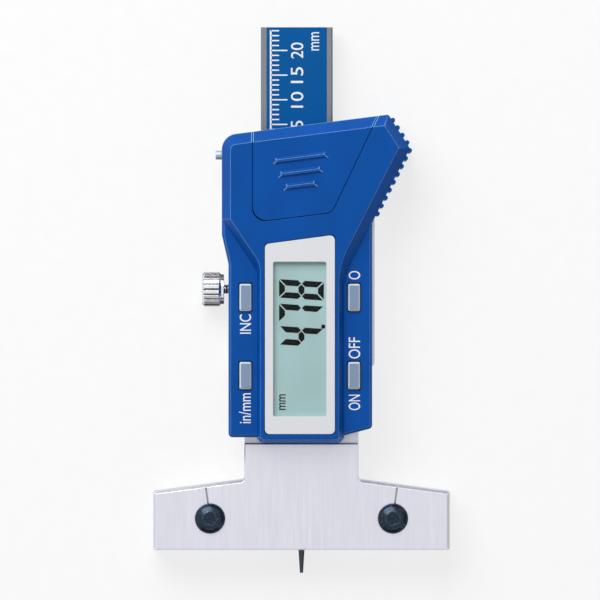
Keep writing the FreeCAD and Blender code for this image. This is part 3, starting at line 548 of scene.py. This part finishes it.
def settle(piece, name, body, slot, finish=None):
    """Names a finished piece, puts its place into its mesh and hands it to its CAD body."""
    select(piece)
    apply_placement()
    piece.name = name
    piece.data.name = name
    piece.data.materials.clear()
    piece.data.materials.append(MATERIALS[finish or slot])
    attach(piece, body)
    return piece


def join(pieces):
    """One object from several."""
    select(*pieces)
    bpy.ops.object.join()
    return bpy.context.view_layer.objects.active


def copy_of(piece, matrix):
    """A copy with its own mesh, placed by a matrix, with its faces still outwards if that mirrors it."""
    made = piece.copy()
    made.data = piece.data.copy()
    bpy.context.scene.collection.objects.link(made)
    made.data.transform(matrix)
    if matrix.determinant() < 0:
        made.data.flip_normals()
    return made


def lettering(text, box, level, thickness, weight=0.001):
    """Raised letters that read from bottom to top, fitted to a box of (left, bottom, right, top) in metres.
    The weight, in shares of the font's size, widens their strokes."""
    deselect()
    bpy.ops.object.text_add()
    letters = bpy.context.object
    letters.data.body = text
    # any depth will do, because the fit stretches it to the thickness
    letters.data.extrude = 0.05
    letters.data.offset = weight
    bpy.ops.object.convert(target="MESH")
    letters = bpy.context.object
    low = Vector([min(v.co[i] for v in letters.data.vertices) for i in range(3)])
    high = Vector([max(v.co[i] for v in letters.data.vertices) for i in range(3)])
    left, bottom, right, top = box
    size = high - low
    fit = Matrix.Diagonal(((top - bottom) / size.x, (right - left) / size.y, thickness / size.z, 1.0))
    turn = Matrix.Rotation(math.pi / 2, 4, "Z")
    corner = Matrix.Translation((right, bottom, level))
    letters.data.transform(corner @ turn @ fit @ Matrix.Translation(-low))
    return letters


# ---------------------------------------------------------------- operators
class GAUGE_OT_finishes(bpy.types.Operator):
    """Gives every CAD node its material."""
    bl_idname = "gauge.finishes"
    bl_label = "CAD Finishes"

    def execute(self, context):
        MATERIALS.update(make_materials())
        slots = {m["slot"] for m in frame["record"]["materials"]}
        for name, node in NODES.items():
            for place in node.material_slots:
                slot = place.material.name.split(".")[0]
                if slot not in slots or slot not in MATERIALS:
                    raise RuntimeError(f"{name} has no finish for {slot}")
                place.material = MATERIALS[slot]
        return {"FINISHED"}


def segment(kind, length, width):
    """One flat display segment, lying along X from the origin, with its outer side towards +Y. A bar is
    mitred at both ends, a side segment pointed at its start and mitred at its end, and the middle one
    pointed at both ends."""
    bpy.ops.mesh.primitive_plane_add(size=1.0)
    bar = bpy.context.object
    stretch = Matrix.Diagonal((length, width, 1, 1))
    bar.data.transform(Matrix.Translation((length / 2, width / 2, 0)) @ stretch)
    near = width / 20
    # where each end lies, and which way leads inwards from it
    start = (0.0, 1)
    end = (length, -1)
    mitred, pointed = {
        "bar": ((start, end), ()),
        "side": ((end,), (start,)),
        "middle": ((), (start, end)),
    }[kind]
    for x, inwards in mitred:
        edit(bar, lambda place: abs(place.x - x) < near and place.y < near)
        bpy.ops.transform.translate(value=(inwards * width, 0, 0))
        leave()
    for x, inwards in pointed:
        edit(bar, lambda place: abs(place.x - x) < near)
        bpy.ops.mesh.subdivide(number_cuts=1)
        leave()
        edit(bar, lambda place: abs(place.x - x) < near and abs(place.y - width / 2) < near)
        bpy.ops.transform.translate(value=(-inwards * width / 2, 0, 0))
        leave()
    return bar


class GAUGE_OT_reading(bpy.types.Operator):
    """Builds the seven-segment reading and the unit mark on the display glass."""
    bl_idname = "gauge.reading"
    bl_label = "Display Reading"

    # which of the seven segments each digit lights: top, upper right, lower right, bottom,
    # lower left, upper left, middle
    LIT = {"4": (0, 1, 1, 0, 0, 1, 1), "7": (1, 1, 1, 0, 0, 0, 0), "8": (1, 1, 1, 1, 1, 1, 1)}
    # the digits' feet lie at this X, and each digit starts at its own Y
    FOOT = 4.5
    FIGURES = (("4", 41.06), ("7", 45.56), ("8", 50.5))
    # how far a digit leans, as a share of its height
    SLANT = 0.065
    THICKNESS = 0.03
    POINT_PLACE = (4.38, 45.25)
    POINT_SIZE = 0.75
    POINT_CORNER = 0.12
    # left, bottom, right and top of the unit, and the weight of its strokes
    UNIT_BOX = (-4.5, 28.45, -3.2, 31.6)
    UNIT_WEIGHT = 0.006

    def execute(self, context):
        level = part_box("lcd_panel")[1].z
        thickness = self.THICKNESS * MM
        self.digits(context.scene.gauge_sizes, level, thickness)
        self.point(level, thickness)
        unit = lettering("mm", [side * MM for side in self.UNIT_BOX], level, thickness, self.UNIT_WEIGHT)
        settle(unit, "display_unit", "gauge_body", "lcd_glass", "ink_black")
        return {"FINISHED"}

    def digits(self, sizes, level, thickness):
        """The figures, each from the segments that it lights, joined into one piece."""
        high, wide = sizes.digit_height, sizes.digit_width
        width, gap = sizes.segment, sizes.segment_gap
        deselect()
        bar = segment("bar", wide - 2 * gap, width)
        side = segment("side", high / 2 - width / 2 - gap * 1.5, width)
        middle = segment("middle", wide - 2 * (width + gap), width)
        shift = Matrix.Translation
        top_bar = shift((gap, high - width, 0))
        # the swap of X and Y stands the segment up, with its mitre at the top and its outer side on the right
        swap = Matrix(((0, 1, 0, 0), (1, 0, 0, 0), (0, 0, 1, 0), (0, 0, 0, 1)))
        upper_right = shift((wide - width, high / 2 + width / 2 + gap / 2, 0)) @ swap
        to_left = shift((wide, 0, 0)) @ Matrix.Diagonal((-1, 1, 1, 1))
        to_bottom = shift((0, high, 0)) @ Matrix.Diagonal((1, -1, 1, 1))
        places = [
            (bar, top_bar),
            (side, upper_right),
            (side, to_bottom @ upper_right),
            (bar, to_bottom @ top_bar),
            (side, to_bottom @ to_left @ upper_right),
            (side, to_left @ upper_right),
            (middle, shift((width + gap, (high - width) / 2, 0))),
        ]
        lean = Matrix.Identity(4)
        lean[0][1] = self.SLANT
        upright = Matrix.Rotation(math.pi / 2, 4, "Z")
        made = []
        for digit, start in self.FIGURES:
            to_glass = shift((self.FOOT * MM, start * MM, level)) @ upright @ lean
            for lit, (shape, place) in zip(self.LIT[digit], places):
                if lit:
                    made.append(copy_of(shape, to_glass @ place))
        for shape in (bar, side, middle):
            bpy.data.objects.remove(shape)
        reading = join(made)
        edit(reading)
        thicken(thickness)
        settle(reading, "display_reading", "gauge_body", "lcd_glass", "ink_black")

    def point(self, level, thickness):
        """The decimal point, a small square with its corners taken off."""
        deselect()
        x, y = self.POINT_PLACE
        bpy.ops.mesh.primitive_plane_add(size=self.POINT_SIZE * MM, location=(x * MM, y * MM, level))
        dot = bpy.context.object
        edit(dot)
        bpy.ops.mesh.bevel(offset=self.POINT_CORNER * MM, affect="VERTICES")
        thicken(thickness)
        settle(dot, "display_point", "gauge_body", "lcd_glass", "ink_black")


class GAUGE_OT_legends(bpy.types.Operator):
    """Prints the buttons' legends on the wings."""
    bl_idname = "gauge.legends"
    bl_label = "Button Legends"

    # height of the wings' top faces
    WINGS = 12.3
    # text, name, then left, bottom, right and top of the printed word
    WORDS = (
        ("INC", "legend_inc", (-12.45, 43.8, -10.15, 47.7)),
        ("in/mm", "legend_unit", (-12.6, 25.75, -10.2, 31.8)),
        ("O", "legend_zero", (9.5, 54.75, 11.85, 56.45)),
        ("OFF", "legend_off", (9.5, 38.8, 11.85, 43.05)),
        ("ON", "legend_on", (9.5, 28.4, 11.85, 31.5)),
    )

    def execute(self, context):
        ink = context.scene.gauge_sizes.ink
        for text, name, box in self.WORDS:
            word = lettering(text, [side * MM for side in box], self.WINGS * MM, ink)
            settle(word, name, "gauge_body", "blue_abs", "ink_white")
        return {"FINISHED"}


class GAUGE_OT_beam_scale(bpy.types.Operator):
    """Prints the coarse depth scale on the beam's label."""
    bl_idname = "gauge.beam_scale"
    bl_label = "Beam Scale"

    # how many marks follow the first one, where that one stands on the beam, and after how many marks a
    # long one with its number comes again
    RANGE = 24
    ZERO = 81.2
    EVERY = 5
    # the scale's line stands this far in from the label's left edge
    MARGIN = 0.75
    LONG_MARK = 3.4
    SHORT_MARK = 1.7
    # half the thickness of a mark and of the line, and how far their corners are rounded
    MARK_HALF = 0.13
    LINE_HALF = 0.18
    CORNER = 0.06
    # the numbers' heads and feet, to the right of the line
    NUMBER_HEAD = 4.1
    NUMBER_FOOT = 6.6
    # half a figure's width, and half the gap that a number of two figures adds
    FIGURE_HALF = 0.75
    GAP_HALF = 0.1
    # the unit's bottom and top along the beam, and its head and foot from the label's right edge
    UNIT_BOTTOM = 101.2
    UNIT_TOP = 104.9
    UNIT_HEAD = 3.1
    UNIT_FOOT = 1.5

    def execute(self, context):
        sizes = context.scene.gauge_sizes
        label_low, label_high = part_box("scale_label")
        level = label_high.z
        step = sizes.graduation
        zero = self.ZERO * MM
        left = label_low.x + self.MARGIN * MM
        deselect()
        marks = []
        for count in range(self.RANGE + 1):
            reach = self.SHORT_MARK if count % self.EVERY else self.LONG_MARK
            height = zero + count * step
            marks.append(self.stroke((left, height), (left + reach * MM, height), (0.0, self.MARK_HALF * MM),
                                     level, sizes.ink))
        marks.append(self.stroke((left, zero), (left, zero + self.RANGE * step),
                                 (self.LINE_HALF * MM, self.MARK_HALF * MM), level, sizes.ink))
        settle(join(marks), "scale_marks", "beam", "label_film", "ink_white")
        for count in range(self.EVERY, self.RANGE + 1, self.EVERY):
            text = str(count)
            half = self.FIGURE_HALF * MM * len(text) + (self.GAP_HALF * MM if len(text) > 1 else 0.0)
            height = zero + count * step
            box = (left + self.NUMBER_HEAD * MM, height - half, left + self.NUMBER_FOOT * MM, height + half)
            settle(lettering(text, box, level, sizes.ink), f"scale_number_{count}", "beam",
                   "label_film", "ink_white")
        box = (label_high.x - self.UNIT_HEAD * MM, self.UNIT_BOTTOM * MM,
               label_high.x - self.UNIT_FOOT * MM, self.UNIT_TOP * MM)
        settle(lettering("mm", box, level, sizes.ink), "scale_unit", "beam", "label_film", "ink_white")
        return {"FINISHED"}

    def stroke(self, start, end, spread, level, ink):
        """A printed stroke with rounded corners, spread about the line from its start to its end."""
        left, bottom = start[0] - spread[0], start[1] - spread[1]
        right, top = end[0] + spread[0], end[1] + spread[1]
        middle = ((left + right) / 2, (bottom + top) / 2, level)
        bpy.ops.mesh.primitive_plane_add(size=1.0, location=middle)
        made = bpy.context.object
        made.scale = (right - left, top - bottom, 1.0)
        apply_placement()
        edit(made)
        bpy.ops.mesh.bevel(offset=self.CORNER * MM, affect="VERTICES", segments=2)
        thicken(ink)
        return made


class GAUGE_OT_cell_mark(bpy.types.Operator):
    """Marks the button cell's positive face with a plus sign."""
    bl_idname = "gauge.cell_mark"
    bl_label = "Button Cell Mark"

    ARM = 1.3
    WIDTH = 0.36
    # how far the sign stands from the cell's middle, up the beam
    OFFSET = 2.2

    def execute(self, context):
        low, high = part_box("battery")
        middle = (low + high) / 2
        ink = context.scene.gauge_sizes.ink
        place = (middle.x, middle.y + self.OFFSET * MM, high.z + ink / 2)
        deselect()
        sign = block(place, (self.ARM * MM, self.WIDTH * MM, ink))
        upright = block(place, (self.WIDTH * MM, self.ARM * MM, ink))
        boolean(sign, upright, "UNION")
        settle(sign, "battery_plus_sign", "gauge_body", "cell_steel", "ink_black")
        return {"FINISHED"}


class GAUGE_OT_base_screws(bpy.types.Operator):
    """Models the two button-head socket screws of the base."""
    bl_idname = "gauge.base_screws"
    bl_label = "Base Screws"

    # the head's radius, and its share where the head meets its seat
    RADIUS = 3.07
    SEAT_SHARE = 0.97
    # share of the head's radius and of its height at each ring, from the seat up
    RINGS = ((1.0, 0.03), (1.0, 0.17), (0.985, 0.24), (0.94, 0.38), (0.87, 0.54), (0.76, 0.71), (0.63, 0.85),
             (0.5, 0.95), (0.44, 1.0))
    SIDES = 48
    SHANK_RADIUS = 1.5
    SHANK_BREAK = 0.2
    # the hexagon socket, across its flats and down from the top
    SOCKET = 2.2
    SOCKET_DEPTH = 1.05
    # the chamfer at the socket's mouth is cut by a cone: its radius, its depth and how far its middle lies
    # below the head's top, in shares of the socket's corner radius
    MOUTH_RADIUS = 1.3
    MOUTH_DEPTH = 0.75
    MOUTH_SINK = 0.15
    # edges blunter than this are shaded smooth
    SMOOTH = math.radians(32)
    # how far round each screw stands, in radians, as it came out of tightening
    TURNS = {"left": 0.4, "right": -0.25}

    def execute(self, context):
        low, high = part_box("base_screws")
        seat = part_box("base_front_plate")[1].z
        screw = self.turned(high.z - seat, low.z - seat)
        self.socket(screw, high.z - seat)
        middle = (low.y + high.y) / 2
        places = {"left": (low.x + self.RADIUS * MM, middle, seat),
                  "right": (high.x - self.RADIUS * MM, middle, seat)}
        for side, place in places.items():
            turn = Matrix.Rotation(self.TURNS[side], 4, "Z")
            made = copy_of(screw, Matrix.Translation(place) @ turn)
            settle(made, f"base_screw_{side}", "gauge_body", "blackened_steel")
            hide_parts("base_screws")
        bpy.data.objects.remove(screw)
        return {"FINISHED"}

    def turned(self, head, shank):
        """The domed head, from its seat up, and the plain shank below it."""
        foot = self.RADIUS * MM * self.SEAT_SHARE
        deselect()
        bpy.ops.mesh.primitive_circle_add(vertices=self.SIDES, radius=foot, fill_type="NGON")
        screw = bpy.context.object
        edit(screw)
        level = 0.0
        wide = self.SEAT_SHARE
        for share, height in self.RINGS:
            bpy.ops.mesh.extrude_region_move(TRANSFORM_OT_translate={"value": (0, 0, height * head - level)})
            bpy.ops.transform.resize(value=(share / wide, share / wide, 1.0))
            level, wide = height * head, share
        leave()
        edit(screw, lambda place: place.z < TOUCH)
        bpy.ops.mesh.inset(thickness=foot - self.SHANK_RADIUS * MM)
        bpy.ops.mesh.extrude_region_move(TRANSFORM_OT_translate={"value": (0, 0, shank)})
        bpy.ops.mesh.bevel(offset=self.SHANK_BREAK * MM, affect="EDGES")
        leave()
        return screw

    def socket(self, screw, head):
        """Cuts the hexagon socket with its chamfered mouth."""
        corner = self.SOCKET * MM / 2 / math.cos(math.pi / 6)
        deselect()
        bpy.ops.mesh.primitive_cylinder_add(vertices=6, radius=corner, depth=2 * self.SOCKET_DEPTH * MM,
                                            location=(0, 0, head))
        key = bpy.context.object
        bpy.ops.mesh.primitive_cone_add(vertices=self.SIDES, radius1=0.0, radius2=corner * self.MOUTH_RADIUS,
                                        depth=corner * self.MOUTH_DEPTH,
                                        location=(0, 0, head - corner * self.MOUTH_SINK))
        mouth = bpy.context.object
        boolean(screw, key, "DIFFERENCE")
        boolean(screw, mouth, "DIFFERENCE")
        bpy.ops.object.shade_smooth_by_angle(angle=self.SMOOTH)


class GAUGE_OT_lock_thread(bpy.types.Operator):
    """Winds the lock screw's thread round its root."""
    bl_idname = "gauge.lock_thread"
    bl_label = "Lock Screw Thread"

    # radii at the ridge's base, just inside the thread's root, and at its crest
    BASE = 0.78
    CREST = 1.0
    # where the thread starts along X, how often it goes round, and its facets per turn
    START = -15.62
    TURNS = 4
    STEPS = 28
    # how far the ridge's profile, a triangle in a circle of radius one, is stretched along X, in pitches:
    # its base is 0.83 of a pitch wide, so a narrow land stays between two turns
    SPREAD = 0.48
    # edges blunter than this are shaded smooth
    SMOOTH = math.radians(40)

    def execute(self, context):
        pitch = context.scene.gauge_sizes.thread_pitch
        low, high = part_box("lock_pad")
        centre = (low + high) / 2
        deselect()
        bpy.ops.mesh.primitive_circle_add(vertices=3, radius=1.0, fill_type="NOTHING")
        ridge = bpy.context.object
        # the triangle's point becomes the crest; before it is squeezed, the triangle is one and a half high
        squeeze = (self.CREST - self.BASE) * MM / 1.5
        profile = Matrix(((pitch * self.SPREAD, 0, 0, 0), (0, 0, 1, 0), (0, squeeze, 0, 0), (0, 0, 0, 1)))
        ridge.data.transform(profile)
        top = max(v.co.z for v in ridge.data.vertices)
        ridge.data.transform(Matrix.Translation((0, 0, self.CREST * MM - top)))
        wind = ridge.modifiers.new("wind", "SCREW")
        wind.axis = "X"
        wind.screw_offset = pitch
        wind.iterations = self.TURNS
        wind.steps = self.STEPS
        wind.render_steps = self.STEPS
        bpy.ops.object.modifier_apply(modifier="wind")
        edit(ridge)
        bpy.ops.mesh.select_all(action="DESELECT")
        bpy.ops.mesh.select_non_manifold()
        bpy.ops.mesh.edge_face_add()
        face_outwards()
        ridge.data.transform(Matrix.Translation((self.START * MM, centre.y, centre.z)))
        bpy.ops.object.shade_smooth_by_angle(angle=self.SMOOTH)
        # the thread takes the chrome finish, with its painted shade between the turns
        settle(ridge, "lock_screw_thread", "lock_screw", "chrome_knob")
        return {"FINISHED"}


class GAUGE_OT_stage(bpy.types.Operator):
    """Sets the floor, the soft lamps, the black cards, the world and the camera."""
    bl_idname = "gauge.stage"
    bl_label = "Stage"

    # places and sizes of the stage are metres, except the camera's
    FLOOR_SIZE = 4.0
    FLOOR_PLACE = (0, 0.05, -0.00005)
    # share of plain white in the paper, close to the gauge and far from it, and how far those are
    PAPER_WHITE = (0.75, 1.0)
    PAPER_REACH = (0.12, 0.5)
    # the gauge's middle, which the lamps face
    MIDDLE = (0.0, 0.05, 0.008)
    # name, place, size and power in watts of each lamp
    LAMPS = (
        ("key_softbox", (-0.22, 0.52, 0.44), (0.6, 0.5), 4.8),
        ("low_strip", (0.05, -0.42, 0.26), (0.7, 0.06), 0.3),
    )
    # name, place and size of each black card
    FLAGS = (
        ("flag_near", (0, -0.5, 0.2), (0.9, 0.02, 0.4)),
        ("flag_far", (0, 0.62, 0.11), (0.9, 0.02, 0.22)),
        ("flag_near_floor", (0, -0.33, 0.001), (0.9, 0.32, 0.001)),
        ("flag_far_floor", (0, 0.45, 0.001), (0.9, 0.32, 0.001)),
        ("flag_right", (0.5, 0.05, 0.16), (0.02, 0.5, 0.22)),
        ("flag_knob", (-0.0185, 0.0528, 0.00006), (0.007, 0.07, 0.0001)),
    )
    # the sky's strength, in the light that it gives and where it is looked at
    SKY_LIGHT = 0.35
    SKY_SEEN = 1.0
    # the camera looks straight down on a place, and sees a field of this width there
    AIM = (-0.3, 50.6, 9.0)
    FIELD = 121.3
    FOCAL_LENGTH = 400.0
    SENSOR = 36.0

    def execute(self, context):
        self.floor()
        for name, place, size, power in self.LAMPS:
            self.lamp(name, place, size, power)
        for name, place, size in self.FLAGS:
            self.flag(name, place, size)
        self.world()
        self.camera()
        return {"FINISHED"}

    def floor(self):
        """White paper that takes the gauge's soft shadow, and turns to plain white away from it."""
        deselect()
        bpy.ops.mesh.primitive_plane_add(size=self.FLOOR_SIZE, location=self.FLOOR_PLACE)
        floor = bpy.context.object
        floor.name = "studio_floor"
        made, tree = empty("Paper, plain white")
        place = add(tree, "ShaderNodeTexCoord").outputs["Object"]
        fibre = grain(tree, place, (3.0, 3.0, 3.0))
        paper = add(tree, "ShaderNodeBsdfDiffuse",
                    links={"Color": tint(tree, fibre, linear("EDEDED"), linear("F4F4F4"))})
        white = add(tree, "ShaderNodeEmission", {"Strength": 1.0})
        away = add(tree, "ShaderNodeVectorMath", {"operation": "LENGTH"}, {0: place}).outputs["Value"]
        bare = between(tree, away, *self.PAPER_WHITE, *self.PAPER_REACH)
        share = combine(tree, "MULTIPLY", seen_rays(tree), bare)
        mixed = add(tree, "ShaderNodeMixShader",
                    links={0: share, 1: paper.outputs["BSDF"], 2: white.outputs["Emission"]})
        add(tree, "ShaderNodeOutputMaterial", links={"Surface": mixed.outputs["Shader"]})
        floor.data.materials.append(made)

    def flag(self, name, place, size):
        """A black card that only glossy surfaces see, to draw their edges."""
        deselect()
        card = block(place, size)
        card.name = name
        made, tree = empty("Velvet, black")
        velvet = add(tree, "ShaderNodeBsdfPrincipled", {"Base Color": linear("060606")})
        add(tree, "ShaderNodeOutputMaterial", links={"Surface": velvet.outputs["BSDF"]})
        card.data.materials.append(made)
        card.visible_camera = False
        card.visible_diffuse = False
        card.visible_shadow = False
        card.visible_transmission = False

    def lamp(self, name, place, size, power):
        """A softbox that faces the gauge's middle."""
        data = bpy.data.lights.new(name, "AREA")
        data.shape = "RECTANGLE"
        data.size, data.size_y = size
        data.energy = power
        lamp = bpy.data.objects.new(name, data)
        lamp.location = place
        aim = Vector(self.MIDDLE) - Vector(place)
        lamp.rotation_euler = aim.to_track_quat("-Z", "Y").to_euler()
        bpy.context.scene.collection.objects.link(lamp)

    def world(self):
        """A white sky, dimmer in the light that it gives than where it is looked at."""
        world = bpy.data.worlds.new("Studio")
        world.use_nodes = True
        tree = world.node_tree
        tree.nodes.clear()
        strength = between(tree, seen_rays(tree), self.SKY_LIGHT, self.SKY_SEEN, start=0.0, end=1.0)
        sky = add(tree, "ShaderNodeBackground", {"Color": (1, 1, 1, 1)}, {"Strength": strength})
        add(tree, "ShaderNodeOutputWorld", links={"Surface": sky.outputs["Background"]})
        bpy.context.scene.world = world

    def camera(self):
        """A long lens that looks straight down."""
        data = bpy.data.cameras.new("camera")
        data.sensor_width = self.SENSOR
        data.lens = self.FOCAL_LENGTH
        data.clip_start = 0.01
        camera = bpy.data.objects.new("camera", data)
        x, y, z = self.AIM
        distance = self.FIELD * MM * self.FOCAL_LENGTH / self.SENSOR
        camera.location = (x * MM, y * MM, z * MM + distance)
        bpy.context.scene.collection.objects.link(camera)
        bpy.context.scene.camera = camera
        bpy.context.scene.view_settings.view_transform = "Standard"


class GAUGE_PT_panel(bpy.types.Panel):
    """Shows the gauge's sizes and colours, and a button for each operator."""
    bl_label = "Depth Gauge"
    bl_idname = "GAUGE_PT_panel"
    bl_space_type = "VIEW_3D"
    bl_region_type = "UI"
    bl_category = "Depth Gauge"

    def draw(self, context):
        layout = self.layout
        for group in (context.scene.gauge_sizes, context.scene.gauge_colours):
            for name in group.__annotations__:
                layout.prop(group, name)
        for operator in OPERATORS:
            layout.operator(operator.bl_idname)


OPERATORS = (GAUGE_OT_finishes, GAUGE_OT_reading, GAUGE_OT_legends, GAUGE_OT_beam_scale, GAUGE_OT_cell_mark,
             GAUGE_OT_base_screws, GAUGE_OT_lock_thread, GAUGE_OT_stage)
CLASSES = (GaugeSizes, GaugeColours) + OPERATORS + (GAUGE_PT_panel,)


def register():
    for cls in CLASSES:
        bpy.utils.register_class(cls)
    bpy.types.Scene.gauge_sizes = PointerProperty(type=GaugeSizes)
    bpy.types.Scene.gauge_colours = PointerProperty(type=GaugeColours)


def unregister():
    del bpy.types.Scene.gauge_colours
    del bpy.types.Scene.gauge_sizes
    for cls in reversed(CLASSES):
        bpy.utils.unregister_class(cls)


def main():
    register()
    bpy.ops.gauge.finishes()
    bpy.ops.gauge.reading()
    bpy.ops.gauge.legends()
    bpy.ops.gauge.beam_scale()
    bpy.ops.gauge.cell_mark()
    bpy.ops.gauge.base_screws()
    bpy.ops.gauge.lock_thread()
    bpy.ops.gauge.stage()


if __name__ == "__main__":
    main()
